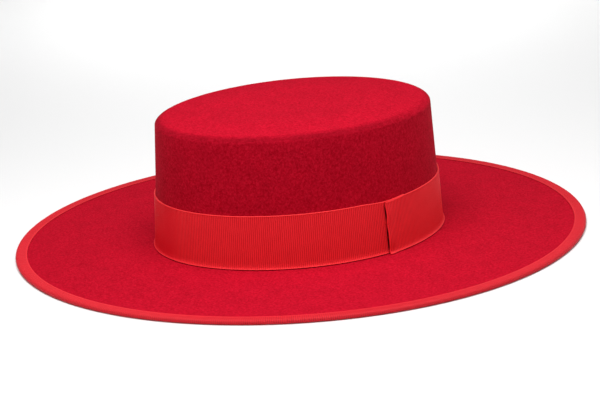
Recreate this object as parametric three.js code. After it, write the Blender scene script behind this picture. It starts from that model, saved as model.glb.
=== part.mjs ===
// A cordobes hat: a flat-topped, slightly tapered oval crown on a wide, flat oval brim.
// Crown and brim are one piece of felt, open underneath for the head. A grosgrain ribbon runs round
// the foot of the crown and laps over itself at one side. A second ribbon is folded over the brim's
// edge and closes in a ring.
// Millimetres. +Z is up, the wearer faces -Y and the wearer's left is +X. The hat rests on its brim,
// so z = 0 is the underside of the edge binding.

import * as THREE from 'three';

// ---- driving dimensions ----

const CROWN_BASE = { halfLength: 102, halfWidth: 86 };     // outside of the felt, at the brim
const CROWN_TIP = { halfLength: 97.5, halfWidth: 78.5 };   // where side and flat top would meet
const TIP_HEIGHT = 91.5;                                   // flat top above z = 0
const FRONT_TAPER = 0.03;                                  // how much the ovals narrow to the front
const TIP_RADIUS = 6;                                      // rounding from side to flat top
const BREAK_RADIUS = 1;                                    // hollow between crown and brim
const BRIM_WIDTH = { side: 102, front: 97, rear: 99.5 };   // crown to finished edge
const FELT = 1.8;                                          // thickness of crown and brim
const PRESSED_FELT = 1;                                    // the brim's edge inside its binding
const RIBBON = 1;
const GAP = 0.25;                                          // between pieces that touch
const BINDING_WIDTH = 8;
const BINDING_NOSE = 1.6;                                  // length of the rounded fold
const BAND_HEIGHT = 36.6;
const BAND_LIFT = 0.3;                                     // band's lower edge above the brim
const BAND_FLARE = { out: 0.3, height: 2 };                // lower edge eased over the break
const LAP_ANGLE = 17.25;                                   // degrees, from +X towards the rear
const LAP_LENGTH = 16;                                     // how far the inner end runs under
const LAP_RAMP = 14;                                       // ribbon that climbs onto the lap
const LAP_UNDER = 0.45;                                    // the inner end, pressed thin
const LAP_GAP = 0.2;
const LAP_PRESS = { start: 1, end: 4 };                    // past the fold, thin to full ribbon
const LAP_DIP = { depth: 1, reach: 20 };                   // top edge drawn down at the lap
const FOLD_RADIUS = 0.4;                                   // rounding of the folded outer end
const SECTORS = 96;                                        // columns round every ring
const STEPS = { tip: 5, innerTip: 4, break: 3, innerBreak: 4 };   // facets of each rounded corner

const edgeHeight = PRESSED_FELT + 2 * (GAP + RIBBON);
const brimMiddle = edgeHeight / 2;
const brimTop = brimMiddle + FELT / 2;
const brimUnder = brimMiddle - FELT / 2;
const bandBottom = brimTop + BAND_LIFT;
const lapAngle = THREE.MathUtils.degToRad(LAP_ANGLE);
const foldAngle = lapAngle - 2 * Math.PI;
const centreShift = (BRIM_WIDTH.front - BRIM_WIDTH.rear) / 2;

// ---- the oval plan ----

// A point of an oval, moved outwards along its normal. Ovals are narrower towards the front.
function ovalPoint(oval, angle, offset) {
  const cos = Math.cos(angle);
  const sin = Math.sin(angle);
  const widening = 1 + FRONT_TAPER * sin;
  const x = oval.halfWidth * cos * widening;
  const y = oval.halfLength * sin;
  const alongX = oval.halfWidth * (FRONT_TAPER * cos * cos - sin * widening);
  const alongY = oval.halfLength * cos;
  const normal = new THREE.Vector2(alongY, -alongX).normalize();
  return new THREE.Vector2(x, y).addScaledVector(normal, offset);
}

// A point of the crown's side at a height, `offset` outside the felt.
function crownPoint(angle, z, offset = 0) {
  const share = (z - brimTop) / (TIP_HEIGHT - brimTop);
  const oval = {
    halfLength: THREE.MathUtils.lerp(CROWN_BASE.halfLength, CROWN_TIP.halfLength, share),
    halfWidth: THREE.MathUtils.lerp(CROWN_BASE.halfWidth, CROWN_TIP.halfWidth, share),
  };
  const { x, y } = ovalPoint(oval, angle, offset);
  return new THREE.Vector3(x, y, z);
}

// Crown to finished edge: the side width, eased into the front or the rear width.
function brimWidth(angle) {
  const sin = Math.sin(angle);
  const end = sin < 0 ? BRIM_WIDTH.front : BRIM_WIDTH.rear;
  return THREE.MathUtils.lerp(BRIM_WIDTH.side, end, sin * sin);
}

// A point of the brim, `inset` in from its finished edge.
function brimPoint(angle, z, inset) {
  const { x, y } = ovalPoint(CROWN_BASE, angle, brimWidth(angle) - inset);
  return new THREE.Vector3(x, y, z);
}

// ---- surfaces from sections ----

// Angles of the columns round a full turn.
const turn = Array.from({ length: SECTORS }, (_, i) => (2 * Math.PI * i) / SECTORS);

// Quads between two sections of `size` points that start at vertices `here` and `next`.
function joinSections(index, here, next, size, loop) {
  const last = loop ? size : size - 1;
  for (let j = 0; j < last; j++) {
    const k = (j + 1) % size;
    index.push(here + j, here + k, next + k, here + j, next + k, next + j);
  }
}

// Closes the end of a strip whose section runs up one face and down the other.
function capSection(index, start, size, facesOn) {
  for (let j = 0; j < size / 2 - 1; j++) {
    const [a, b, c, d] = [j, j + 1, size - 2 - j, size - 1 - j].map((k) => start + k);
    if (facesOn) index.push(a, b, c, a, c, d);
    else index.push(a, c, b, a, d, c);
  }
}

function geometryFrom(points, index) {
  const geometry = new THREE.BufferGeometry();
  geometry.setFromPoints(points);
  geometry.setIndex(index);
  geometry.computeVertexNormals();
  return geometry;
}

// ---- felt body ----

// Rounded corner at the tip, from the side (0 degrees) to the flat top (90 degrees).
function tipCorner(angle, top, radius, offset, steps) {
  return Array.from({ length: steps + 1 }, (_, i) => {
    const tilt = (Math.PI / 2) * (i / steps);
    const z = top - radius + radius * Math.sin(tilt);
    return crownPoint(angle, z, offset - radius * (1 - Math.cos(tilt)));
  });
}

// Hollow corner at the break, from the brim (0 degrees) to the crown's side (90 degrees).
function breakCorner(angle, level, radius, offset, steps) {
  return Array.from({ length: steps + 1 }, (_, i) => {
    const tilt = (Math.PI / 2) * (i / steps);
    const z = level + radius * (1 - Math.cos(tilt));
    return crownPoint(angle, z, offset + radius * (1 - Math.sin(tilt)));
  });
}

// Half-section of the felt, from the flat top down the outside, round the brim's edge and back up
// the inside. It starts and ends one step short of the hat's axis.
function feltSection(angle) {
  const thirds = [1 / 3, 2 / 3];
  const halfBrim = brimWidth(angle) / 2;
  const pressedFrom = BINDING_WIDTH + GAP;
  const tuck = RIBBON + GAP;
  const half = PRESSED_FELT / 2;
  const outer = tipCorner(angle, TIP_HEIGHT, TIP_RADIUS, 0, STEPS.tip);
  const inner = tipCorner(angle, TIP_HEIGHT - FELT, TIP_RADIUS - FELT, -FELT, STEPS.innerTip);
  const across = (ring, share) => new THREE.Vector3(ring.x * share, ring.y * share, ring.z);
  return [
    ...thirds.map((share) => across(outer.at(-1), share)),
    ...outer.toReversed(),
    crownPoint(angle, TIP_HEIGHT / 2),
    ...breakCorner(angle, brimTop, BREAK_RADIUS, 0, STEPS.break).toReversed(),
    brimPoint(angle, brimTop, halfBrim),
    brimPoint(angle, brimTop, pressedFrom + FELT),
    brimPoint(angle, brimMiddle + half, pressedFrom),
    brimPoint(angle, brimMiddle + half, tuck + half),
    brimPoint(angle, brimMiddle, tuck),
    brimPoint(angle, brimMiddle - half, tuck + half),
    brimPoint(angle, brimMiddle - half, pressedFrom),
    brimPoint(angle, brimUnder, pressedFrom + FELT),
    brimPoint(angle, brimUnder, halfBrim),
    ...breakCorner(angle, brimUnder, BREAK_RADIUS + FELT, -FELT, STEPS.innerBreak),
    crownPoint(angle, TIP_HEIGHT / 2, -FELT),
    ...inner,
    ...thirds.toReversed().map((share) => across(inner.at(-1), share)),
  ];
}

function feltGeometry() {
  const sections = turn.map(feltSection);
  const size = sections[0].length;
  const points = sections.flat();
  const topCentre = points.push(new THREE.Vector3(0, 0, TIP_HEIGHT)) - 1;
  const innerCentre = points.push(new THREE.Vector3(0, 0, TIP_HEIGHT - FELT)) - 1;
  const index = [];
  for (let i = 0; i < SECTORS; i++) {
    const here = i * size;
    const next = ((i + 1) % SECTORS) * size;
    joinSections(index, here, next, size, false);
    index.push(topCentre, here, next);
    index.push(innerCentre, next + size - 1, here + size - 1);
  }
  return geometryFrom(points, index);
}

// ---- brim binding ----

// U section of the folded ribbon: a rounded nose, and two legs that lie on the felt.
// Each row is a distance in from the finished edge and a height above the brim's middle.
function bindingSection(angle) {
  const outer = edgeHeight / 2;
  const inner = outer - RIBBON;
  const rows = [
    { inset: BINDING_WIDTH, rise: outer },
    { inset: BINDING_NOSE, rise: outer },
    { inset: BINDING_NOSE * 0.3, rise: outer * 0.72 },
    { inset: 0, rise: outer * 0.25 },
    { inset: 0, rise: -outer * 0.25 },
    { inset: BINDING_NOSE * 0.3, rise: -outer * 0.72 },
    { inset: BINDING_NOSE, rise: -outer },
    { inset: BINDING_WIDTH, rise: -outer },
    { inset: BINDING_WIDTH, rise: -inner },
    { inset: BINDING_NOSE, rise: -inner },
    { inset: RIBBON, rise: 0 },
    { inset: BINDING_NOSE, rise: inner },
    { inset: BINDING_WIDTH, rise: inner },
  ];
  return rows.map(({ inset, rise }) => brimPoint(angle, brimMiddle + rise, inset));
}

function bindingGeometry() {
  const sections = turn.map(bindingSection);
  const size = sections[0].length;
  const index = [];
  for (let i = 0; i < SECTORS; i++) {
    joinSections(index, i * size, ((i + 1) % SECTORS) * size, size, true);
  }
  return geometryFrom(sections.flat(), index);
}

// ---- hatband ----

// Near the lap, a millimetre of ribbon is this angle.
const tinyAngle = 0.001;
const lapFoot = crownPoint(lapAngle, bandBottom);
const perMillimetre = tinyAngle / lapFoot.distanceTo(crownPoint(lapAngle + tinyAngle, bandBottom));

// The ribbon starts under its own lap, runs forwards round the crown and comes back from the rear
// to end on top, folded. These are the angles of its columns in that order.
function bandAngles() {
  const underLap = [LAP_LENGTH, LAP_LENGTH / 2, -LAP_PRESS.start, -LAP_PRESS.end];
  const overLap = [LAP_LENGTH + LAP_RAMP, LAP_LENGTH, LAP_LENGTH / 2];
  const roundFold = [FOLD_RADIUS, FOLD_RADIUS * 0.3, 0];
  return [
    ...underLap.map((distance) => lapAngle + distance * perMillimetre),
    ...turn.slice(2).map((angle) => lapAngle - angle),
    ...[...overLap, ...roundFold].map((distance) => foldAngle + distance * perMillimetre),
  ].sort((a, b) => b - a);
}

// How far the ribbon's two faces lie outside the felt at an angle.
function bandFaces(angle) {
  const toFold = (angle - foldAngle) / perMillimetre;
  const fromLap = (lapAngle - angle) / perMillimetre;
  const climb = 1 - THREE.MathUtils.smoothstep(toFold, LAP_LENGTH, LAP_LENGTH + LAP_RAMP);
  const press = THREE.MathUtils.smoothstep(fromLap, LAP_PRESS.start, LAP_PRESS.end);
  const rest = 1 - Math.min(1, toFold / FOLD_RADIUS);
  const rounding = FOLD_RADIUS * (1 - Math.sqrt(1 - rest * rest));
  const inner = GAP + climb * (LAP_UNDER + LAP_GAP);
  const outer = inner + THREE.MathUtils.lerp(LAP_UNDER, RIBBON, press);
  return { inner: inner + rounding, outer: outer - rounding };
}

// The ribbon's section at an angle: up its outer face and down its inner face.
function bandSection(angle) {
  const toLap = Math.min(Math.abs(angle - lapAngle), angle - foldAngle) / perMillimetre;
  const pull = Math.max(0, 1 - toLap / LAP_DIP.reach);
  const height = BAND_HEIGHT - LAP_DIP.depth * THREE.MathUtils.smoothstep(pull, 0, 1);
  const { inner, outer } = bandFaces(angle);
  const rises = [0, BAND_FLARE.height / 2, BAND_FLARE.height, height / 2, height];
  const flare = (rise) => BAND_FLARE.out * (1 - THREE.MathUtils.smoothstep(rise, 0, BAND_FLARE.height));
  const point = (rise, offset) => crownPoint(angle, bandBottom + rise, offset + flare(rise));
  return [
    ...rises.map((rise) => point(rise, outer)),
    ...rises.toReversed().map((rise) => point(rise, inner)),
  ];
}

function bandGeometry() {
  const sections = bandAngles().map(bandSection);
  const size = sections[0].length;
  const index = [];
  for (let i = 0; i < sections.length - 1; i++) {
    joinSections(index, i * size, (i + 1) * size, size, true);
  }
  capSection(index, 0, size, false);
  capSection(index, (sections.length - 1) * size, size, true);
  return geometryFrom(sections.flat(), index);
}

// ---- the hat ----

const hat = new THREE.Group();

// The ovals are centred on the crown. The finished hat is centred on its own length.
function addPiece(name, geometry, colour, roughness) {
  const material = new THREE.MeshStandardMaterial({ color: colour, roughness, metalness: 0 });
  const piece = new THREE.Mesh(geometry, material);
  piece.name = name;
  piece.position.y = centreShift;
  hat.add(piece);
}

addPiece('felt_body', feltGeometry(), 0xc41a2c, 0.95);
addPiece('hatband', bandGeometry(), 0xcf2030, 0.6);
addPiece('brim_binding', bindingGeometry(), 0xd22232, 0.6);

export default hat;
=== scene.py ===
import math

import bpy
import numpy as np
from mathutils import Matrix, Vector


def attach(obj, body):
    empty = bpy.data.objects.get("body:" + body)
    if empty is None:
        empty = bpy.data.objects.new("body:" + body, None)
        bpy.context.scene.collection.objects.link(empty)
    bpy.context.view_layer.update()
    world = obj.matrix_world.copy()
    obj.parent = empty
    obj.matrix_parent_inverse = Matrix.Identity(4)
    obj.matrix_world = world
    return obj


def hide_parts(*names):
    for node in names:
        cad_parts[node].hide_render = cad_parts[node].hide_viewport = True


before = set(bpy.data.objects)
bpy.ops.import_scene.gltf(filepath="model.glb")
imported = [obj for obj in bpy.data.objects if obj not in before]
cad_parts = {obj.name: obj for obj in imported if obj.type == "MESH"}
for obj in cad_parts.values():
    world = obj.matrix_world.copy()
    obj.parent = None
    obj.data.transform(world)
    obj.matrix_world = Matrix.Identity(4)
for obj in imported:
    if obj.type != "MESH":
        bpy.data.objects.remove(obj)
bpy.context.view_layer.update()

millimetre = 0.001

# Shape of the hat. Its heights and outlines are read from the frame, further down.
hatPlan = {
    "frontTaper": 0.03,      # how much the ovals narrow towards the front
    "tipInset": 8.0,         # rounding between the side and the flat top, inwards and downwards
    "tipDrop": 4.2,
    "tipRise": 0.4,          # against the solid's flat top, at the rounding
    "solidTipRadius": 6.0,   # below this, the solid's side is straight
    "lapAngle": 16.5,        # degrees from +X towards the rear
    "levelTolerance": 0.02,  # for points of one ring
}


# Everything is worked out in millimetres and scaled once, when a mesh is made.
def nodePoints(name):
    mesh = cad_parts[name].data
    points = np.empty(len(mesh.vertices) * 3, np.float32)
    mesh.vertices.foreach_get("co", points)
    return points.reshape(-1, 3).astype(float) / millimetre


# Half length, half width and middle of the ring of points at one height.
def ringSize(points, height):
    ring = points[np.abs(points[:, 2] - height) < hatPlan["levelTolerance"]]
    low, high = ring.min(axis=0), ring.max(axis=0)
    return (high[1] - low[1]) / 2, high[0], (high[1] + low[1]) / 2


feltPoints = nodePoints("felt_body")
bandPoints = nodePoints("hatband")
edgePoints = nodePoints("brim_binding")
tipHeight = feltPoints[:, 2].max()
brimUnder = feltPoints[:, 2].min()
bandBottom = bandPoints[:, 2].min()
bandTop = bandPoints[:, 2].max()
edgeTop = edgePoints[:, 2].max()
brimTop = edgeTop - brimUnder

middle, shoulder = tipHeight / 2, tipHeight - hatPlan["solidTipRadius"]
middleLength, middleWidth, centreY = ringSize(feltPoints, middle)
shoulderLength, shoulderWidth, _ = ringSize(feltPoints, shoulder)
lengthSlope = (shoulderLength - middleLength) / (shoulder - middle)
widthSlope = (shoulderWidth - middleWidth) / (shoulder - middle)


# Half length and half width of the crown: both change evenly with the height.
def crownOval(height):
    rise = height - middle
    return middleLength + lengthSlope * rise, middleWidth + widthSlope * rise


baseLength, baseWidth = crownOval(brimTop)
brimSide = edgePoints[:, 0].max() - baseWidth
brimFront = centreY - edgePoints[:, 1].min() - baseLength
brimRear = edgePoints[:, 1].max() - centreY - baseLength
print("plan: crown", round(baseLength, 2), round(baseWidth, 2), "brim", round(brimSide, 2),
      round(brimFront, 2), round(brimRear, 2), "heights", round(brimTop, 2), round(bandBottom, 2))


# Plan of the hat: x = width cos(a) (1 + taper sin(a)) and y = length sin(a), then moved outwards
# along the curve's normal by the offset.
def planPoint(length, width, angle, offset):
    cosine, sine = np.cos(angle), np.sin(angle)
    widening = 1 + hatPlan["frontTaper"] * sine
    alongX = width * (hatPlan["frontTaper"] * cosine ** 2 - sine * widening)
    alongY = length * cosine
    size = np.hypot(alongX, alongY)
    x = width * cosine * widening + offset * alongY / size
    y = length * sine - offset * alongX / size
    return x, y + centreY


# Width of the brim: the side width, blended by sin(a) squared into the front or rear width.
def brimWidth(angle):
    sine = np.sin(angle)
    ends = np.where(sine < 0, brimFront, brimRear)
    return brimSide + (ends - brimSide) * sine ** 2


# From 0 at start to 1 at end, as 3 t squared - 2 t cubed.
def smooth(value, start, end):
    share = np.clip((value - start) / (end - start), 0, 1)
    return share * share * (3 - 2 * share)


# Turns a stack of closed rings of points (rings, points in a ring, 3) into one closed mesh. With
# joinEnds the last ring meets the first, otherwise each end closes on its own middle point.
# runs holds a (u, v) for each point and one more ring and column, so that it never jumps back, and
# is zero all over if it is left out.
def skinPiece(name, rings, runs=None, joinEnds=False):
    count, size = rings.shape[:2]
    if runs is None:
        runs = np.zeros((count + 1, size + 1, 2))
    spans = count if joinEnds else count - 1
    ring = np.arange(spans)[:, None]
    point = np.arange(size)[None, :]
    nextRing, nextPoint = (ring + 1) % count, (point + 1) % size
    corners = [ring * size + point, nextRing * size + point,
               nextRing * size + nextPoint, ring * size + nextPoint]
    quads = np.stack([np.broadcast_to(c, (spans, size)) for c in corners], axis=-1).reshape(-1, 4)
    runCorners = [(ring, point), (ring + 1, point), (ring + 1, point + 1), (ring, point + 1)]
    quadRuns = np.stack([runs[i, j] for i, j in runCorners], axis=2).reshape(-1, 2)
    points = rings.reshape(-1, 3)
    triangles = np.empty((0, 3), int)
    triangleRuns = np.empty((0, 2))
    if not joinEnds:
        points = np.vstack([points, rings[0].mean(axis=0), rings[-1].mean(axis=0)])
        first, after = point[0], nextPoint[0]
        last = (count - 1) * size
        startFan = np.stack([np.full(size, count * size), first, after], axis=1)
        endFan = np.stack([np.full(size, count * size + 1), last + after, last + first], axis=1)
        triangles = np.vstack([startFan, endFan])
        fanRuns = [np.stack([runs[k, :-1], runs[k, :-1], runs[k, 1:]], axis=1) for k in (0, -1)]
        triangleRuns = np.concatenate(fanRuns).reshape(-1, 2)
    # The volume, six times over, is negative when the faces look inwards.
    centred = points - points.mean(axis=0)
    a, b, c, d = (centred[quads[:, k]] for k in range(4))
    volume = np.einsum("ij,ij->", a, np.cross(b, c)) + np.einsum("ij,ij->", a, np.cross(c, d))
    if volume < 0:
        quads, quadRuns = quads[:, ::-1], quadRuns.reshape(-1, 4, 2)[:, ::-1].reshape(-1, 2)
        triangles = triangles[:, ::-1]
        triangleRuns = triangleRuns.reshape(-1, 3, 2)[:, ::-1].reshape(-1, 2)
    mesh = bpy.data.meshes.new(name)
    mesh.vertices.add(len(points))
    mesh.vertices.foreach_set("co", (points * millimetre).astype(np.float32).ravel())
    mesh.loops.add(quads.size + triangles.size)
    mesh.loops.foreach_set("vertex_index", np.concatenate([quads.ravel(), triangles.ravel()]))
    starts = np.concatenate([np.arange(len(quads)) * 4, quads.size + np.arange(len(triangles)) * 3])
    mesh.polygons.add(len(starts))
    mesh.polygons.foreach_set("loop_start", starts)
    mesh.polygons.foreach_set("use_smooth", np.ones(len(starts), bool))
    layer = mesh.uv_layers.new(name="ribbonRun")
    layer.data.foreach_set("uv", np.concatenate([quadRuns, triangleRuns]).astype(np.float32).ravel())
    mesh.update(calc_edges=True)
    mesh.validate()
    piece = bpy.data.objects.new(name, mesh)
    bpy.context.scene.collection.objects.link(piece)
    print("made", name, len(mesh.vertices), "points")
    return piece


# Writes one number per ring point as a named attribute. The two closing points stay at zero.
def markPoints(piece, name, values):
    layer = piece.data.attributes.new(name, "FLOAT", "POINT")
    numbers = np.zeros(len(piece.data.vertices), np.float32)
    numbers[:values.size] = values.ravel()
    layer.data.foreach_set("value", numbers)


def dress(piece, node, material):
    piece.data.materials.append(material)
    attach(piece, "root")
    if node:
        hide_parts(node)


# Small helpers for materials
def newMaterial(name):
    material = bpy.data.materials.new(name)
    material.use_nodes = True
    tree = material.node_tree
    tree.nodes.clear()
    output = tree.nodes.new("ShaderNodeOutputMaterial")
    shader = tree.nodes.new("ShaderNodeBsdfPrincipled")
    tree.links.new(shader.outputs["BSDF"], output.inputs["Surface"])
    return material, tree, shader


def addNode(tree, kind, inputs=(), **settings):
    node = tree.nodes.new(kind)
    for key, value in settings.items():
        setattr(node, key, value)
    for key, value in dict(inputs).items():
        if isinstance(value, bpy.types.NodeSocket):
            tree.links.new(value, node.inputs[key])
        else:
            node.inputs[key].default_value = value
    return node


def mathNode(tree, operation, first, second=0.0, third=0.0):
    inputs = {0: first, 1: second, 2: third}
    return addNode(tree, "ShaderNodeMath", inputs, operation=operation).outputs[0]


def mixColour(tree, factor, first, second):
    node = addNode(tree, "ShaderNodeMix", data_type="RGBA")
    for socket, value in ((node.inputs[0], factor), (node.inputs[6], first), (node.inputs[7], second)):
        if isinstance(value, bpy.types.NodeSocket):
            tree.links.new(value, socket)
        else:
            socket.default_value = value
    return node.outputs[2]


# The numbers that markPoints wrote
def pointMark(tree, name):
    return addNode(tree, "ShaderNodeAttribute", attribute_name=name).outputs["Fac"]


def newGroup(name, inputs, outputs):
    group = bpy.data.node_groups.new(name, "ShaderNodeTree")
    for label, kind, value in inputs:
        socket = group.interface.new_socket(label, in_out="INPUT", socket_type=kind)
        socket.default_value = value
    for label, kind in outputs:
        group.interface.new_socket(label, in_out="OUTPUT", socket_type=kind)
    return group, group.nodes.new("NodeGroupInput"), group.nodes.new("NodeGroupOutput")


feltLook = {
    "colour": (0.444, 0.0015, 0.0150, 1.0),
    "deep": (0.321, 0.0001, 0.0078, 1.0),
    "pale": (0.568, 0.0060, 0.0262, 1.0),
    "plain": 0.2,              # share of the even colour under the flecks
    "clouds": 0.14,            # lighter and darker by cloud, as a share
    "fibreScale": 900.0,
    "fleckScale": 0.75,        # against the fibres
    "cloudScale": 80.0,
    "fleckContrast": 3.4,
    "fleckFloor": -1.2,
    "bend": 0.004,             # how far a fibre strays, in metres
    "furrows": 1.6,            # how deep the furrows are between fibres, against the flecks
    "bump": 0.50,
    "bumpDepth": 0.00035,
    "roughness": 0.95,
    "specular": 0.05,
    "sheen": 0.13,
    "sheenRoughness": 0.35,
    "sheenTint": (1.0, 0.10, 0.16, 1.0),
}


# Felted wool: broad clouds where the nap lies differently, and short fibres in every direction.
def makeFeltGroup():
    group, given, result = newGroup(
        "feltedWool",
        [("Fibre Scale", "NodeSocketFloat", feltLook["fibreScale"]),
         ("Cloud Scale", "NodeSocketFloat", feltLook["cloudScale"])],
        [("Clouds", "NodeSocketFloat"), ("Flecks", "NodeSocketFloat"), ("Height", "NodeSocketFloat")])
    place = addNode(group, "ShaderNodeTexCoord").outputs["Object"]
    clouds = addNode(group, "ShaderNodeTexNoise", {
        "Vector": place, "Scale": given.outputs["Cloud Scale"], "Detail": 3.0, "Roughness": 0.5})
    fleckScale = mathNode(group, "MULTIPLY", given.outputs["Fibre Scale"], feltLook["fleckScale"])
    flecks = addNode(group, "ShaderNodeTexNoise", {
        "Vector": place, "Scale": fleckScale, "Detail": 4.0, "Roughness": 0.62, "Distortion": 0.6})
    bend = addNode(group, "ShaderNodeTexNoise", {
        "Vector": place, "Scale": fleckScale, "Detail": 2.0, "Roughness": 0.5})
    push = addNode(group, "ShaderNodeVectorMath", {0: bend.outputs["Color"], 1: (0.5, 0.5, 0.5)},
                   operation="SUBTRACT").outputs[0]
    push = addNode(group, "ShaderNodeVectorMath", {0: push, "Scale": feltLook["bend"]},
                   operation="SCALE").outputs[0]
    bent = addNode(group, "ShaderNodeVectorMath", {0: place, 1: push}, operation="ADD").outputs[0]
    strands = addNode(group, "ShaderNodeTexNoise", {
        "Vector": bent, "Scale": given.outputs["Fibre Scale"], "Detail": 5.0, "Roughness": 0.7})
    ridges = mathNode(group, "ABSOLUTE", mathNode(group, "SUBTRACT", strands.outputs["Fac"], 0.5))
    height = mathNode(group, "MULTIPLY_ADD", ridges, -feltLook["furrows"], flecks.outputs["Fac"])
    group.links.new(clouds.outputs["Fac"], result.inputs["Clouds"])
    group.links.new(flecks.outputs["Fac"], result.inputs["Flecks"])
    group.links.new(height, result.inputs["Height"])
    return group


def makeFelt():
    material, tree, shader = newMaterial("redWoolFelt")
    wool = addNode(tree, "ShaderNodeGroup", node_tree=feltedWool)
    clouds = mathNode(tree, "SUBTRACT", wool.outputs["Clouds"], 0.5)
    flecks = mathNode(tree, "MULTIPLY_ADD", wool.outputs["Flecks"], feltLook["fleckContrast"],
                      feltLook["fleckFloor"])
    flecks = addNode(tree, "ShaderNodeClamp", {"Value": flecks}).outputs[0]
    base = mixColour(tree, flecks, feltLook["deep"], feltLook["pale"])
    base = mixColour(tree, feltLook["plain"], base, feltLook["colour"])
    # Painted light and shade from the attribute, times the cloud tone, which is the felt's own
    paintedLightAndShade = mathNode(tree, "ADD", pointMark(tree, "paintedLightAndShade"), 1.0)
    paintedLightAndShade = mathNode(tree, "MULTIPLY_ADD", clouds, 2 * feltLook["clouds"], paintedLightAndShade)
    shaded = addNode(tree, "ShaderNodeVectorMath", {0: base, "Scale": paintedLightAndShade}, operation="SCALE").outputs[0]
    bump = addNode(tree, "ShaderNodeBump", {"Strength": feltLook["bump"],
                                            "Distance": feltLook["bumpDepth"],
                                            "Height": wool.outputs["Height"]})
    tree.links.new(shaded, shader.inputs["Base Color"])
    tree.links.new(bump.outputs["Normal"], shader.inputs["Normal"])
    shader.inputs["Roughness"].default_value = feltLook["roughness"]
    shader.inputs["Specular IOR Level"].default_value = feltLook["specular"]
    shader.inputs["Sheen Weight"].default_value = feltLook["sheen"]
    shader.inputs["Sheen Roughness"].default_value = feltLook["sheenRoughness"]
    shader.inputs["Sheen Tint"].default_value = feltLook["sheenTint"]
    return material


grosgrain = {
    "ribPitch": 1.38,
    "ribDepth": 0.34,
    "ribSink": 0.6,            # share of the depth that the cords sink into the ribbon
    "threadPitch": 0.26,
    "selvedge": 0.8,           # width of the firmer edge
    "thickness": 0.6,
}

ribbonLook = {
    "band": (1.00, 0.0310, 0.0445, 1.0),
    # Groove colours, for band and edge, are darker: painted shade between the cords
    "bandGroove": (0.56, 0.0050, 0.0105, 1.0),
    # Selvedge colours are paler: a painted highlight along the ribbon's edges
    "bandSelvedge": (1.00, 0.0420, 0.0520, 1.0),
    "bandPaintedShade": (0.76, 0.0020, 0.0150, 1.0),      # painted shade: deeper, redder band colour near the front
    "edge": (0.700, 0.0230, 0.0370, 1.0),
    "edgeGroove": (0.27, 0.0050, 0.0085, 1.0),
    "edgeSelvedge": (0.74, 0.0300, 0.0430, 1.0),
    "crest": 0.45,             # share of the way up a cord where its full colour begins
    "patchScale": 140.0,
    "worn": 0.3,               # patches where more of the groove's colour shows
    "wornFloor": -0.05,
    "selvedgeHighlight": 0.85,              # share of the paler selvedge colour, a painted highlight along the edges
    "shade": 0.92,             # how dark the ribbon is inside the slit at the lap
    "bump": 0.6,
    "threadDepth": 0.00006,
    "roughness": 0.40,
    "threadGloss": 0.08,       # threads are this much glossier than the gaps between them
    "specular": 0.15,
    "tint": (1.0, 0.40, 0.38, 1.0),
}


# Grosgrain: cords across the ribbon, covered by fine warp threads that change sides at each cord.
def makeGrosgrainGroup():
    group, given, result = newGroup(
        "grosgrainThreads",
        [("Rib Pitch", "NodeSocketFloat", grosgrain["ribPitch"] * millimetre),
         ("Thread Pitch", "NodeSocketFloat", grosgrain["threadPitch"] * millimetre)],
        [("Rib", "NodeSocketFloat"), ("Thread", "NodeSocketFloat"), ("Patch", "NodeSocketFloat")])
    run = addNode(group, "ShaderNodeUVMap", uv_map="ribbonRun").outputs["UV"]
    parts = addNode(group, "ShaderNodeSeparateXYZ", {0: run})
    ribs = mathNode(group, "DIVIDE", parts.outputs[0], given.outputs["Rib Pitch"])
    across = mathNode(group, "SUBTRACT", mathNode(group, "FRACT", ribs), 0.5)
    away = mathNode(group, "MULTIPLY", mathNode(group, "ABSOLUTE", across), 2.0)
    rib = mathNode(group, "SUBTRACT", 1.0, away)
    swap = mathNode(group, "MULTIPLY", mathNode(group, "FLOOR", ribs), math.pi)
    threads = mathNode(group, "DIVIDE", parts.outputs[1], given.outputs["Thread Pitch"])
    wave = mathNode(group, "MULTIPLY_ADD", threads, math.pi, swap)
    thread = mathNode(group, "MULTIPLY_ADD", mathNode(group, "SINE", wave), 0.5, 0.5)
    patch = addNode(group, "ShaderNodeTexNoise", {
        "Vector": run, "Scale": ribbonLook["patchScale"], "Detail": 3.0})
    group.links.new(rib, result.inputs["Rib"])
    group.links.new(thread, result.inputs["Thread"])
    group.links.new(patch.outputs["Fac"], result.inputs["Patch"])
    return group


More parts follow.
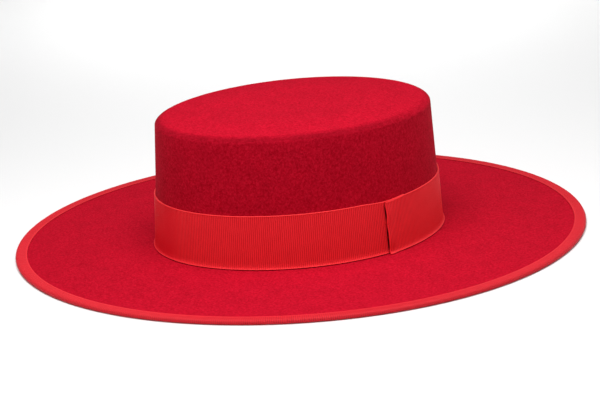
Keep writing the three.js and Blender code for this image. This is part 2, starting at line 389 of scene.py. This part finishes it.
def makeRibbon(name, part):
    colour, groove, selvedge = (ribbonLook[part + place] for place in ("", "Groove", "Selvedge"))
    material, tree, shader = newMaterial(name)
    weave = addNode(tree, "ShaderNodeGroup", node_tree=grosgrainThreads)
    crest = addNode(tree, "ShaderNodeMapRange", {
        "Value": weave.outputs["Rib"], "From Min": 0.0, "From Max": ribbonLook["crest"],
        "To Min": 0.0, "To Max": 1.0}, interpolation_type="SMOOTHSTEP").outputs[0]
    # Painted shade: the groove colour between the cords
    body = mixColour(tree, crest, groove, colour)
    worn = mathNode(tree, "MULTIPLY_ADD", weave.outputs["Patch"], ribbonLook["worn"],
                    ribbonLook["wornFloor"])
    body = mixColour(tree, worn, body, groove)
    # Painted shade: the band goes deeper and redder near its front
    body = mixColour(tree, pointMark(tree, "bandPaintedShade"), body, ribbonLook["bandPaintedShade"])
    # Painted highlight: paler along both selvedges, beside the geometry's bead
    selvedgeHighlight = mathNode(tree, "MULTIPLY", pointMark(tree, "selvedge"), ribbonLook["selvedgeHighlight"])
    body = mixColour(tree, selvedgeHighlight, body, selvedge)
    lit = mathNode(tree, "MULTIPLY_ADD", pointMark(tree, "shade"), -ribbonLook["shade"], 1.0)
    body = addNode(tree, "ShaderNodeVectorMath", {0: body, "Scale": lit}, operation="SCALE").outputs[0]
    bump = addNode(tree, "ShaderNodeBump", {"Strength": ribbonLook["bump"],
                                            "Distance": ribbonLook["threadDepth"],
                                            "Height": weave.outputs["Thread"]})
    gloss = ribbonLook["threadGloss"]
    rough = mathNode(tree, "MULTIPLY_ADD", weave.outputs["Thread"], -gloss,
                     ribbonLook["roughness"] + gloss / 2)
    tree.links.new(body, shader.inputs["Base Color"])
    tree.links.new(bump.outputs["Normal"], shader.inputs["Normal"])
    tree.links.new(rough, shader.inputs["Roughness"])
    shader.inputs["Specular IOR Level"].default_value = ribbonLook["specular"]
    shader.inputs["Specular Tint"].default_value = ribbonLook["tint"]
    return material


feltedWool = makeFeltGroup()
grosgrainThreads = makeGrosgrainGroup()
redFelt = makeFelt()
bandRibbon = makeRibbon("bandGrosgrain", "band")
edgeRibbon = makeRibbon("edgeGrosgrain", "edge")
print("materials ready")

feltBody = {
    "columns": 480,
    "topSpan": (0.06, 0.97),   # first and last ring of the flat top, as shares of its size
    "topRings": 15,
    "cornerRings": 17,
    "sideRings": 24,
    "bendRings": 7,
    "brimRings": 29,
    "thickness": 1.8,
    "breakRadius": 1.0,        # hollow between crown and brim
    "edgeInset": 1.3,          # felt stops this far inside the finished edge
    "pressedHalf": 0.5,        # half thickness where the binding grips it
    "pressedFrom": 6.2,        # inset where it starts to thin, then two steps towards the edge
    "pressedSteps": (0.7, 2.5),
    "tipDome": 1.1,            # the flat top rises a little inside its rounding
    "domeReach": 32.0,
    "wave": 0.12,              # height of the brim's slight waves, then where they fade out
    "waveSpan": (0.1, 0.9),
    "waveTimes": (2, 3),       # times round, share of the height and phase of each
    "waveShares": (1.0, 0.6),
    "wavePhases": (0.6, 2.0),
    "paintedLightSide": -23.0,        # painted light: lighter on this side and darker opposite, in degrees from +X
    "paintedLightTop": 0.075,       # share of painted light that it gains there on the flat top, and loses opposite
    "paintedLightBrim": 0.085,
    "brimEven": -0.012,        # the same all round the brim
    "topSpread": (0.5, 0.95),  # shares of the way out where it begins and is full
    "topLean": (5, 25),        # degrees down the rounding where it fades and is gone
    "brimSpread": (0.0, 0.15),
    "paintedShadeRounding": 0.30,         # share of painted shade on the rounding
    "paintedShadeLean": (12, 50),   # degrees down the rounding where that begins and is full
    "easedLean": (60, 90),     # and where it fades and is gone
    "softRear": 0.7,           # how much of it is missing at the rear
    "rearSpan": (0.2, 0.8),
}


# Quarter of an ellipse, for the rounding: it goes down by drop (1 - sin t) and in by
# inset (1 - cos t). The inner face keeps the centre, and both radii are one thickness less.
def feltCorner(depth):
    turn = np.linspace(0, math.pi / 2, feltBody["cornerRings"])
    height = tipHeight + hatPlan["tipRise"] - depth - (hatPlan["tipDrop"] - depth) * (1 - np.sin(turn))
    return height, -depth - (hatPlan["tipInset"] - depth) * (1 - np.cos(turn))


# Felt: a half-section carried round the oval. Each row of the section has a height, an oval height,
# an offset from the crown, a share of the brim's width and a share of the way out from the middle.
def feltSection():
    thick, inset = feltBody["thickness"], hatPlan["tipInset"]
    top = tipHeight + hatPlan["tipRise"]
    breakIn, breakOut = feltBody["breakRadius"], feltBody["breakRadius"] + thick
    spread = np.linspace(*feltBody["topSpan"], feltBody["topRings"])
    side = np.linspace(top - hatPlan["tipDrop"], brimTop + breakIn, feltBody["sideRings"] + 2)[1:-1]
    bend = np.linspace(math.pi / 2, 0, feltBody["bendRings"])
    share = np.linspace(0, 1, feltBody["brimRings"] + 1)[1:]
    stop, edge, half = feltBody["pressedFrom"], feltBody["edgeInset"], feltBody["pressedHalf"]
    onBrim = breakIn * (1 - share) - stop * share
    centre = (brimTop + brimUnder) / 2
    gripped = np.array([stop - step for step in feltBody["pressedSteps"]] + [edge + half])
    nose = np.linspace(math.pi / 2, -math.pi / 2, feltBody["bendRings"])[1:-1]
    rows = []

    def add(height, ovalHeight, offset, share, spread):
        rows.append(np.stack(np.broadcast_arrays(height, ovalHeight, offset, share, spread), axis=1))

    # Outside, from the middle of the top to the brim's edge
    add(top, top, -inset, 0.0, spread)
    height, offset = feltCorner(0.0)
    add(height[::-1], height[::-1], offset[::-1], 0.0, 1.0)
    add(side, side, 0.0, 0.0, 1.0)
    rise = brimTop + breakIn * (1 - np.cos(bend))
    add(rise, rise, breakIn * (1 - np.sin(bend)), 0.0, 1.0)
    add(brimTop, brimTop, onBrim, share, 1.0)
    add(centre + half, brimTop, -gripped, 1.0, 1.0)
    # Edge, and back underneath and inside
    add(centre + half * np.sin(nose), brimTop, -edge - half * (1 - np.cos(nose)), 1.0, 1.0)
    add(centre - half, brimTop, -gripped[::-1], 1.0, 1.0)
    add(brimUnder, brimTop, onBrim[::-1], share[::-1], 1.0)
    rise = brimUnder + breakOut * (1 - np.cos(bend[::-1]))
    add(rise, rise, -thick + breakOut * (1 - np.sin(bend[::-1])), 0.0, 1.0)
    add(side[::-1], side[::-1], -thick, 0.0, 1.0)
    height, offset = feltCorner(thick)
    add(height, height, offset, 0.0, 1.0)
    add(top - thick, top - thick, -inset, 0.0, spread[::-1])
    return np.vstack(rows)


# Painted light and shade, as a share of light: lighter towards one side and darker opposite, by
# the cosine of the angle to that side, over the outer part of the flat top and the brim, and painted
# shade over the middle of the rounding.
def paintedFeltLight(angle, height, share, spread):
    sunk = (tipHeight + hatPlan["tipRise"] - height) / hatPlan["tipDrop"]
    lean = np.degrees(np.arccos(np.clip(1 - sunk, 0, 1)))
    along = np.cos(angle - math.radians(feltBody["paintedLightSide"]))
    onTop = smooth(spread, *feltBody["topSpread"]) * (1 - smooth(lean, *feltBody["topLean"]))
    onBrim = smooth(share, *feltBody["brimSpread"])
    pressedAndPaintedShade = smooth(lean, *feltBody["paintedShadeLean"]) * (1 - smooth(lean, *feltBody["easedLean"]))
    pressedAndPaintedShade = pressedAndPaintedShade * (1 - feltBody["softRear"] * smooth(np.sin(angle), *feltBody["rearSpan"]))
    paintedLightAndShade = feltBody["paintedLightTop"] * along * onTop - feltBody["paintedShadeRounding"] * pressedAndPaintedShade
    return paintedLightAndShade + (feltBody["paintedLightBrim"] * along + feltBody["brimEven"]) * onBrim


# Both faces of the flat top rise by the dome, over its reach inwards from the rounding. The brim
# rises and falls by the wave, two and three times round, but not at its foot and edge.
def makeFeltBody():
    section = feltSection()
    angle = np.linspace(0, 2 * math.pi, feltBody["columns"], endpoint=False)[None, :]
    height, ovalHeight, offset, share, spread = (section[:, k, None] for k in range(5))
    length, width = crownOval(ovalHeight)
    x, y = planPoint(length, width, angle, offset + share * brimWidth(angle))
    x, y = x * spread, centreY + (y - centreY) * spread
    dome = feltBody["tipDome"] * smooth((1 - spread) * baseWidth, 0, feltBody["domeReach"])
    foot, edge = feltBody["waveSpan"]
    onBrim = smooth(share, foot, edge) * (1 - smooth(share, edge, 1.0))
    waves = zip(feltBody["waveTimes"], feltBody["waveShares"], feltBody["wavePhases"])
    rise = sum(part * np.sin(times * angle + phase) for times, part, phase in waves)
    z = height + dome + feltBody["wave"] * onBrim * rise
    piece = skinPiece("feltBody", np.stack([x, y, z], axis=-1))
    markPoints(piece, "paintedLightAndShade", paintedFeltLight(angle, height, share, spread))
    return piece


dress(makeFeltBody(), "felt_body", redFelt)


# Height of a rounded cord across one pitch: depth times (the square root of 1 - t squared, less
# what it sinks), with t from -1 to 1.
def ribHeight(run):
    t = 2 * np.mod(run / grosgrain["ribPitch"], 1.0) - 1
    return grosgrain["ribDepth"] * (np.sqrt(np.clip(1 - t * t, 0, 1)) - grosgrain["ribSink"])


# Half thickness of a ribbon across its width: even, with a bead along each selvedge and a quarter
# circle at the very edge.
def ribbonHalf(fromEdge, thickness, beadHeight):
    half = thickness / 2
    rounded = np.sqrt(np.clip(1 - (1 - np.clip(fromEdge / half, 0, 1)) ** 2, 0, 1))
    bead = beadHeight * (1 - smooth(fromEdge, 0.5 * grosgrain["selvedge"], grosgrain["selvedge"]))
    return (half + bead) * rounded


# 1 on the selvedge and 0 on the rest of the ribbon
def selvedgeShare(fromEdge):
    return 1 - smooth(fromEdge, 0.7 * grosgrain["selvedge"], 1.1 * grosgrain["selvedge"])


hatband = {
    "bottomGap": 0.1,          # more air below than the solid has
    "columnsPerRib": 7,
    "edgeLevels": (0, 0.08, 0.22, 0.4, 0.53, 0.66, 0.8),    # of the points across a selvedge
    "faceLevels": (1.8, 4, 9, 15, 21, 27, 32, 35),
    "backEdge": (0.25, 1.5),   # the inner face, plainer: at each edge, and between
    "backLevels": (21, 4),
    "standOff": 0.65,          # middle of the ribbon outside the felt
    "selvedgeBead": 0.17,      # how much thicker the firmer edge is
    "cordFade": 0.5,           # width over which the cords end at an edge
    "flare": 0.75,             # lower edge eased over the break
    "flareHeight": 2.0,
    "underLap": 18.0,          # inner end below the lap
    "lapGap": 0.15,            # between the lap and the ribbon below it
    "climb": 24.0,
    "hem": 9.0,                # folded under at the outer end
    "hemOffset": 1.85,         # its middle outside the felt
    "hemClimb": 16.0,
    "hemDrop": 0.6,            # the turned-in end sits a little low
    "foldRadius": 0.4,
    "levelRun": 1.0,           # the climb ends this far before the fold
    "dip": 1.0,                # top edge drawn down at the lap
    "dipReach": 20.0,
    "bandPaintedShade": 0.6,          # share of the painted shade's deeper colour
    "bandShadeAt": -102.0,     # degrees from +X, near the front
    "bandShadeCore": 19.2,     # degrees to each side where it fades and is gone
    "bandShadeReach": 32.0,
}

# The slit between the fold and the ribbon below it. Shares are of the band's height.
lapSlit = {
    "open": 0.9,               # the fold stands off what it covers
    "openTo": 0.75,            # share above which it closes
    "foldReach": 7.0,          # ribbon that leans out with the fold
    "pinch": 0.6,              # share of the opening that a stitch takes away
    "pinchReach": 0.06,
    "pucker": 0.35,            # the fold lifts between its stitches
    "puckerReach": 0.1,
    "shadeReach": 0.55,        # shade past the fold, more or less where its edge is ragged
    "ragged": 0.25,
    "shadeSoft": 0.2,
    "turnedIn": (0.55, 0.8),   # shares of the fold's turn where the shade begins and is full
    "bottomEdge": (0.0, 0.03),     # shares where it fades out at the band's edges
    "topEdge": (0.94, 0.98),
    "stitchEdge": (0.008, 0.016),
}

# Hand stitches that hold the lap
lapStitches = {
    "shares": (0.06, 0.33, 0.58, 0.93),    # heights, as shares of the band's
    "span": 0.97,              # part of that height on which they lie
    "sides": 10,
    "steps": 14,
    "thread": 0.32,            # thickness
    "reach": 1.5,              # half of its length
    "past": 0.15,              # its middle lies this far past the fold
    "slant": 0.5,
    "proud": 0.4,              # middle of the thread above the fold
    "low": 1.0,                # offset of its end on the ribbon below
    "crest": 0.2,              # share of its half length, past its middle, where it is up on the lap
    "sink": 0.5,               # its other end goes into the lap
    "sinkFrom": 0.6,
}

# Arc length round the crown at the band's middle, from the lap forwards, against the angle. The
# table runs on past the lap at both ends.
lapAngle = math.radians(hatPlan["lapAngle"])
tableAngles = lapAngle - np.linspace(-0.5, 2 * math.pi + 0.5, 6000)
tableX, tableY = planPoint(*crownOval((bandBottom + bandTop) / 2), tableAngles, hatband["standOff"])
tableRun = np.concatenate([[0.0], np.cumsum(np.hypot(np.diff(tableX), np.diff(tableY)))])
tableRun -= np.interp(-lapAngle, -tableAngles, tableRun)
lapLength = np.interp(2 * math.pi - lapAngle, -tableAngles, tableRun)
print("hatband goes round", round(lapLength, 1), "mm")


# A point by its run round the crown, its offset from the felt and its height
def bandPoint(run, offset, height):
    angle = np.interp(run, tableRun, tableAngles)
    x, y = planPoint(*crownOval(height), angle, offset)
    return np.stack(np.broadcast_arrays(x, y, height), axis=-1)


# Path of the ribbon in plan: (run along the crown, offset, normal run, normal offset, drop).
# It runs level, climbs onto its own inner end, turns over a half circle and runs back below.
def ribbonPath(distance):
    run = distance - hatband["underLap"]
    radius, low = hatband["foldRadius"], hatband["standOff"]
    onInner = low + grosgrain["thickness"] + hatband["lapGap"]
    over = hatband["hemOffset"] + 2 * radius
    innerEnd, hemEnd = lapLength - hatband["underLap"], lapLength - hatband["hem"]
    first = smooth(run, innerEnd - hatband["climb"], innerEnd)
    second = smooth(run, hemEnd - hatband["hemClimb"], lapLength - hatband["levelRun"])
    offset = low + (onInner - low) * first + (over - onInner) * second
    turn = np.clip((run - lapLength) / radius, 0, math.pi)
    back = np.clip(run - lapLength - math.pi * radius, 0, None)
    level = run < lapLength
    runOut = np.where(level, run, lapLength + radius * np.sin(turn) - back)
    offsetOut = np.where(level, offset, hatband["hemOffset"] + radius * (1 + np.cos(turn)))
    normalRun = np.where(level, 0.0, np.sin(turn))
    normalOffset = np.where(level, 1.0, np.cos(turn))
    drop = hatband["hemDrop"] * smooth(run, lapLength, lapLength + math.pi * radius)
    return runOut, offsetOut, normalRun, normalOffset, drop


# Distance to the nearest stitch, as a share of the band's height
def fromStitch(share):
    return np.abs(np.asarray(share)[..., None] - np.array(lapStitches["shares"])).min(axis=-1)


# How far the slit is open: less at each stitch, and closed at the top.
def lapOpening(share):
    pinched = 1 - lapSlit["pinch"] * (1 - smooth(fromStitch(share), 0.0, lapSlit["pinchReach"]))
    return lapSlit["open"] * (1 - smooth(share, lapSlit["openTo"], 1.0)) * pinched


# Shade: 1 where the lap covers the ribbon, up to a ragged edge (its reach plus a product of two
# sines of the height), and on the turned-in end past the middle of its fold. It fades out at both
# edges of the ribbon and at each stitch.
def lapShade(past, level, share):
    ragged = lapSlit["shadeReach"] + lapSlit["ragged"] * np.sin(2.1 * level) * np.sin(0.7 * level + 1)
    covered = 1 - smooth(past, ragged - lapSlit["shadeSoft"], ragged + lapSlit["shadeSoft"])
    halfTurn = math.pi * hatband["foldRadius"]
    begins, full = lapSlit["turnedIn"]
    turnedIn = smooth(past - lapLength, begins * halfTurn, full * halfTurn)
    inside = smooth(share, *lapSlit["bottomEdge"]) * (1 - smooth(share, *lapSlit["topEdge"]))
    return np.maximum(covered, turnedIn) * inside * smooth(fromStitch(share), *lapSlit["stitchEdge"])


# Hatband: P(distance, across) = path(distance) + normal * thickness(across), with the cords added
# to the outer face. The section runs up the outer face and down the inner one.
def makeHatband():
    tall = bandTop - bandBottom - hatband["bottomGap"]
    edge, backEdge = np.array(hatband["edgeLevels"]), np.array(hatband["backEdge"])
    up = np.concatenate([edge, hatband["faceLevels"], tall - edge[::-1]])
    down = np.concatenate([tall - backEdge, hatband["backLevels"], backEdge[::-1]])
    level = np.concatenate([up, down])
    outer = np.concatenate([np.ones(len(up)), -np.ones(len(down))])
    fromEdge, share = np.minimum(level, tall - level), level / tall
    length = hatband["underLap"] + lapLength + math.pi * hatband["foldRadius"] + hatband["hem"]
    steps = int(round(length / grosgrain["ribPitch"] * hatband["columnsPerRib"]))
    distance = np.linspace(0, length, steps + 1)[:, None]
    run, offset, normalRun, normalOffset, drop = ribbonPath(distance)
    cords = ribHeight(distance) * smooth(fromEdge, 0.0, hatband["cordFade"]) * (outer > 0)
    out = outer * ribbonHalf(fromEdge, grosgrain["thickness"], hatband["selvedgeBead"]) + cords
    toLap = np.minimum(np.abs(run), np.abs(lapLength - run))
    pull = hatband["dip"] * smooth(1 - toLap / hatband["dipReach"], 0, 1)
    height = bandBottom + hatband["bottomGap"] + level - pull * share - drop
    flare = hatband["flare"] * (1 - smooth(level, 0, hatband["flareHeight"]))
    pucker = lapSlit["pucker"] * smooth(fromStitch(share), 0.0, lapSlit["puckerReach"])
    lift = (lapOpening(share) + pucker) * smooth(run, lapLength - lapSlit["foldReach"], lapLength)
    rings = bandPoint(run + out * normalRun, offset + out * normalOffset + flare + lift, height)
    runs = np.empty((steps + 2, len(level) + 1, 2))
    runs[:-1, :, 0] = distance * millimetre
    runs[-1, :, 0] = length * millimetre
    runs[:, :-1, 1] = level * millimetre
    runs[:, -1, 1] = 0.0
    piece = skinPiece("hatbandRibbon", rings, runs)
    markPoints(piece, "shade", lapShade(distance - hatband["underLap"], level, share))
    # Painted shade near the front: full within its core angle, gone past its reach
    plan = np.degrees(np.interp(run, tableRun, tableAngles))
    fromBandShade = np.abs((plan - hatband["bandShadeAt"] + 180) % 360 - 180)
    fades = smooth(fromBandShade, hatband["bandShadeCore"], hatband["bandShadeReach"])
    markPoints(piece, "bandPaintedShade", hatband["bandPaintedShade"] * (1 - fades) + 0 * height)
    markPoints(piece, "selvedge", selvedgeShare(fromEdge + 0 * distance))
    return piece


dress(makeHatband(), "hatband", bandRibbon)


# Stitch: a round section carried over the fold from the ribbon below to the lap. The thread rises
# by the square root of 1 - t squared, with t from 1 to 0, and then lies level until it sinks in.
def makeStitch(index, share):
    arc = np.linspace(-1, 1, lapStitches["steps"])[:, None]
    around = np.linspace(0, 2 * math.pi, lapStitches["sides"], endpoint=False)[None, :]
    radius, low = lapStitches["thread"] / 2, lapStitches["low"]
    high = hatband["hemOffset"] + 2 * hatband["foldRadius"] + lapStitches["proud"] + lapOpening(share)
    t = np.clip(lapStitches["crest"] - arc, 0, 1)
    offset = low + (high - low) * np.sqrt(1 - t ** 2)
    offset = offset - lapStitches["sink"] * smooth(arc, lapStitches["sinkFrom"], 1.0)
    run = lapLength + lapStitches["past"] - arc * lapStitches["reach"] + 0 * around
    tall = (bandTop - bandBottom) * lapStitches["span"]
    height = bandBottom + share * tall + lapStitches["slant"] * arc
    rings = bandPoint(run, offset + radius * np.cos(around), height + radius * np.sin(around))
    return skinPiece("lapStitch_" + str(index), rings)


for index, share in enumerate(lapStitches["shares"], 1):
    dress(makeStitch(index, share), None, bandRibbon)

brimBinding = {
    "columnsPerRib": 5,
    "width": 8.0,
    "topInsets": (7.8, 7.4, 6.6, 5.2, 3.6),    # of the points on the upper leg, past its edge
    "underInsets": (5.0, 7.7),                 # and on the lower leg, before its edge
    "nosePoints": 8,
    "backStep": 4,             # the inside has one point for this many outside
    "backFrom": 3,             # points left out at its first end
    "tableSteps": 4000,
    "thickness": 0.46,
    "selvedgeBead": 0.08,
    "cordFade": 0.5,
    "topGap": 0.1,             # below the solid's upper face
    "legLift": 0.27,           # ribbon's middle above the felt at its inner selvedge
    "liftedFrom": 4.0,         # inset where the upper leg starts down towards the felt
    "noseDepth": 1.9,
    "lighter": 0.12,           # share of painted light that it gains on its lighter side, and loses opposite
    "paintedLightSide": -40.0,        # degrees from +X
}


# Binding: the centre line of the folded ribbon in (inset from the edge, height), as a U. Its nose
# is half an ellipse, and its upper leg sinks towards the felt.
def bindingLine():
    half, width = brimBinding["thickness"] / 2, brimBinding["width"]
    low, high = half, edgeTop - brimBinding["topGap"] - half
    legs = np.array([width, *brimBinding["topInsets"]])
    pressedAndPaintedShade = brimTop + brimBinding["legLift"]
    rise = pressedAndPaintedShade + (high - pressedAndPaintedShade) * smooth(width - legs, 0, width - brimBinding["liftedFrom"])
    turn = np.linspace(math.pi / 2, -math.pi / 2, brimBinding["nosePoints"])
    noseInset = half + brimBinding["noseDepth"] * (1 - np.cos(turn))
    noseHeight = (low + high) / 2 + (high - low) / 2 * np.sin(turn)
    underLegs = np.array([*brimBinding["underInsets"], width])
    insets = np.concatenate([legs, noseInset, underLegs])
    heights = np.concatenate([rise, noseHeight, np.full(len(underLegs), low)])
    return np.stack([insets, heights], axis=1)


# P(distance, across) = edge(distance) + line(across) + normal * thickness(across), with the cords
# added outside. The section goes along the outside of the U and back along its inside.
def makeBinding():
    line = bindingLine()
    tangent = np.gradient(line, axis=0)
    tangent /= np.linalg.norm(tangent, axis=1)[:, None]
    normal = np.stack([tangent[:, 1], -tangent[:, 0]], axis=1)
    walked = np.concatenate([[0.0], np.cumsum(np.linalg.norm(np.diff(line, axis=0), axis=1))])
    fromEdge = np.minimum(walked, walked[-1] - walked)
    half = ribbonHalf(fromEdge, brimBinding["thickness"], brimBinding["selvedgeBead"])
    back = np.arange(len(line) - brimBinding["backFrom"], 0, -brimBinding["backStep"])
    order = np.concatenate([np.arange(len(line)), back])
    face = np.concatenate([np.ones(len(line)), -np.ones(len(back))])
    # Arc length round the brim's edge against the angle, and a whole number of cords
    around = np.linspace(0, 2 * math.pi, brimBinding["tableSteps"] + 1)
    edgeX, edgeY = planPoint(baseLength, baseWidth, around, brimWidth(around))
    table = np.concatenate([[0.0], np.cumsum(np.hypot(np.diff(edgeX), np.diff(edgeY)))])
    ribs = int(round(table[-1] / grosgrain["ribPitch"]))
    steps = ribs * brimBinding["columnsPerRib"]
    column = np.arange(steps + 1)[:, None]
    angle = np.interp(column[:-1] * table[-1] / steps, table, around)
    evenRun = column * grosgrain["ribPitch"] / brimBinding["columnsPerRib"]
    cords = ribHeight(evenRun[:-1]) * smooth(fromEdge[order], 0.0, brimBinding["cordFade"]) * (face > 0)
    out = face * half[order] + cords
    inset = line[order, 0] + out * normal[order, 0]
    height = line[order, 1] + out * normal[order, 1]
    x, y = planPoint(baseLength, baseWidth, angle, brimWidth(angle) - inset)
    rings = np.stack([x, y, np.maximum(height, 0.0)], axis=-1)
    runs = np.empty((steps + 1, len(order) + 1, 2))
    runs[:, :, 0] = evenRun * millimetre
    runs[:, :-1, 1] = walked[order] * millimetre
    runs[:, -1, 1] = walked[0] * millimetre
    piece = skinPiece("bindingRibbon", rings, runs, True)
    markPoints(piece, "selvedge", selvedgeShare(fromEdge[order] + 0 * angle))
    # Painted light and shade: lighter towards one side and darker opposite, by the cosine, through the
    # shade attribute
    lighter = brimBinding["lighter"] * np.cos(angle - math.radians(brimBinding["paintedLightSide"]))
    markPoints(piece, "shade", -lighter + 0 * height)
    return piece


dress(makeBinding(), "brim_binding", edgeRibbon)

studio = {
    "floorSize": 14.0,         # metres, as everything in the studio
    "floorColour": (0.85, 0.85, 0.85, 1.0),
    "floorRoughness": 0.9,
    "floorSpecular": 0.1,
    "worldColour": (1.0, 1.0, 1.0, 1.0),
    "worldStrength": 0.21,
}

# Each softbox: degrees round from the front (-Y) towards +X, elevation, distance, size and power.
# The backdrop's box hangs over the floor behind the hat, and its narrow spread keeps off the hat.
softboxes = {
    "frontTop": {"azimuth": 67, "elevation": 75, "distance": 1.0, "size": 0.7, "power": 8.6},
    "leftTop": {"azimuth": 40, "elevation": 78, "distance": 0.8, "size": 0.5, "power": 2.3},
    "right": {"azimuth": 185, "elevation": 30, "distance": 1.8, "size": 1.0, "power": 4.75},
    "left": {"azimuth": 350, "elevation": 22, "distance": 1.8, "size": 1.0, "power": 1.35},
    "backdrop": {"azimuth": 0, "elevation": 90, "distance": 1.0, "size": 0.5, "power": 1.3,
                 "over": (-0.784, 0.328, 0.0), "spread": 60},
}


# Direction from the hat, by degrees round from the front and degrees up
def directionFrom(azimuth, elevation):
    turn, tilt = math.radians(azimuth), math.radians(elevation)
    level = math.cos(tilt)
    return Vector((math.sin(turn) * level, -math.cos(turn) * level, math.sin(tilt)))


def makeStudio():
    mesh = bpy.data.meshes.new("studioFloor")
    half = studio["floorSize"] / 2
    corners = [(-half, -half, 0), (half, -half, 0), (half, half, 0), (-half, half, 0)]
    mesh.from_pydata(corners, [], [(0, 1, 2, 3)])
    floor = bpy.data.objects.new("studioFloor", mesh)
    bpy.context.scene.collection.objects.link(floor)
    material, _, shader = newMaterial("palePaper")
    shader.inputs["Base Color"].default_value = studio["floorColour"]
    shader.inputs["Roughness"].default_value = studio["floorRoughness"]
    shader.inputs["Specular IOR Level"].default_value = studio["floorSpecular"]
    mesh.materials.append(material)
    world = bpy.data.worlds.new("studioWorld")
    world.use_nodes = True
    background = world.node_tree.nodes["Background"]
    background.inputs["Color"].default_value = studio["worldColour"]
    background.inputs["Strength"].default_value = studio["worldStrength"]
    bpy.context.scene.world = world
    for name, box in softboxes.items():
        light = bpy.data.lights.new(name, "AREA")
        light.shape = "SQUARE"
        light.size = box["size"]
        light.energy = box["power"]
        light.spread = math.radians(box.get("spread", 180))
        lamp = bpy.data.objects.new(name, light)
        back = directionFrom(box["azimuth"], box["elevation"])
        lamp.location = back * box["distance"] + Vector(box.get("over", (0.0, 0.0, 0.0)))
        lamp.rotation_euler = back.to_track_quat("Z", "Y").to_euler()
        bpy.context.scene.collection.objects.link(lamp)


makeStudio()
print("studio ready")

viewpoint = {
    "azimuth": 67.32,
    "elevation": 16.86,
    "roll": 3.26,              # the camera leans, so the hat's right side rises
    "distance": 1.700,
    "aim": (0.0001, 0.0002, 0.0234),
    "lens": 146.5,
    "sensor": 36.0,
    "clip": (0.05, 50.0),
}


def makeCamera():
    back = directionFrom(viewpoint["azimuth"], viewpoint["elevation"])
    turn, roll = math.radians(viewpoint["azimuth"]), math.radians(viewpoint["roll"])
    level = Vector((math.cos(turn), math.sin(turn), 0.0))
    upright = back.cross(level)
    right = math.cos(roll) * level - math.sin(roll) * upright
    up = math.sin(roll) * level + math.cos(roll) * upright
    data = bpy.data.cameras.new("studioCamera")
    data.lens, data.sensor_width = viewpoint["lens"], viewpoint["sensor"]
    data.clip_start, data.clip_end = viewpoint["clip"]
    camera = bpy.data.objects.new("studioCamera", data)
    spot = Vector(viewpoint["aim"]) + back * viewpoint["distance"]
    turned = Matrix((right, up, back)).transposed().to_4x4()
    camera.matrix_world = Matrix.Translation(spot) @ turned
    bpy.context.scene.collection.objects.link(camera)
    bpy.context.scene.camera = camera


makeCamera()
scene = bpy.context.scene
scene.view_settings.view_transform = "Standard"
scene.view_settings.look = "None"
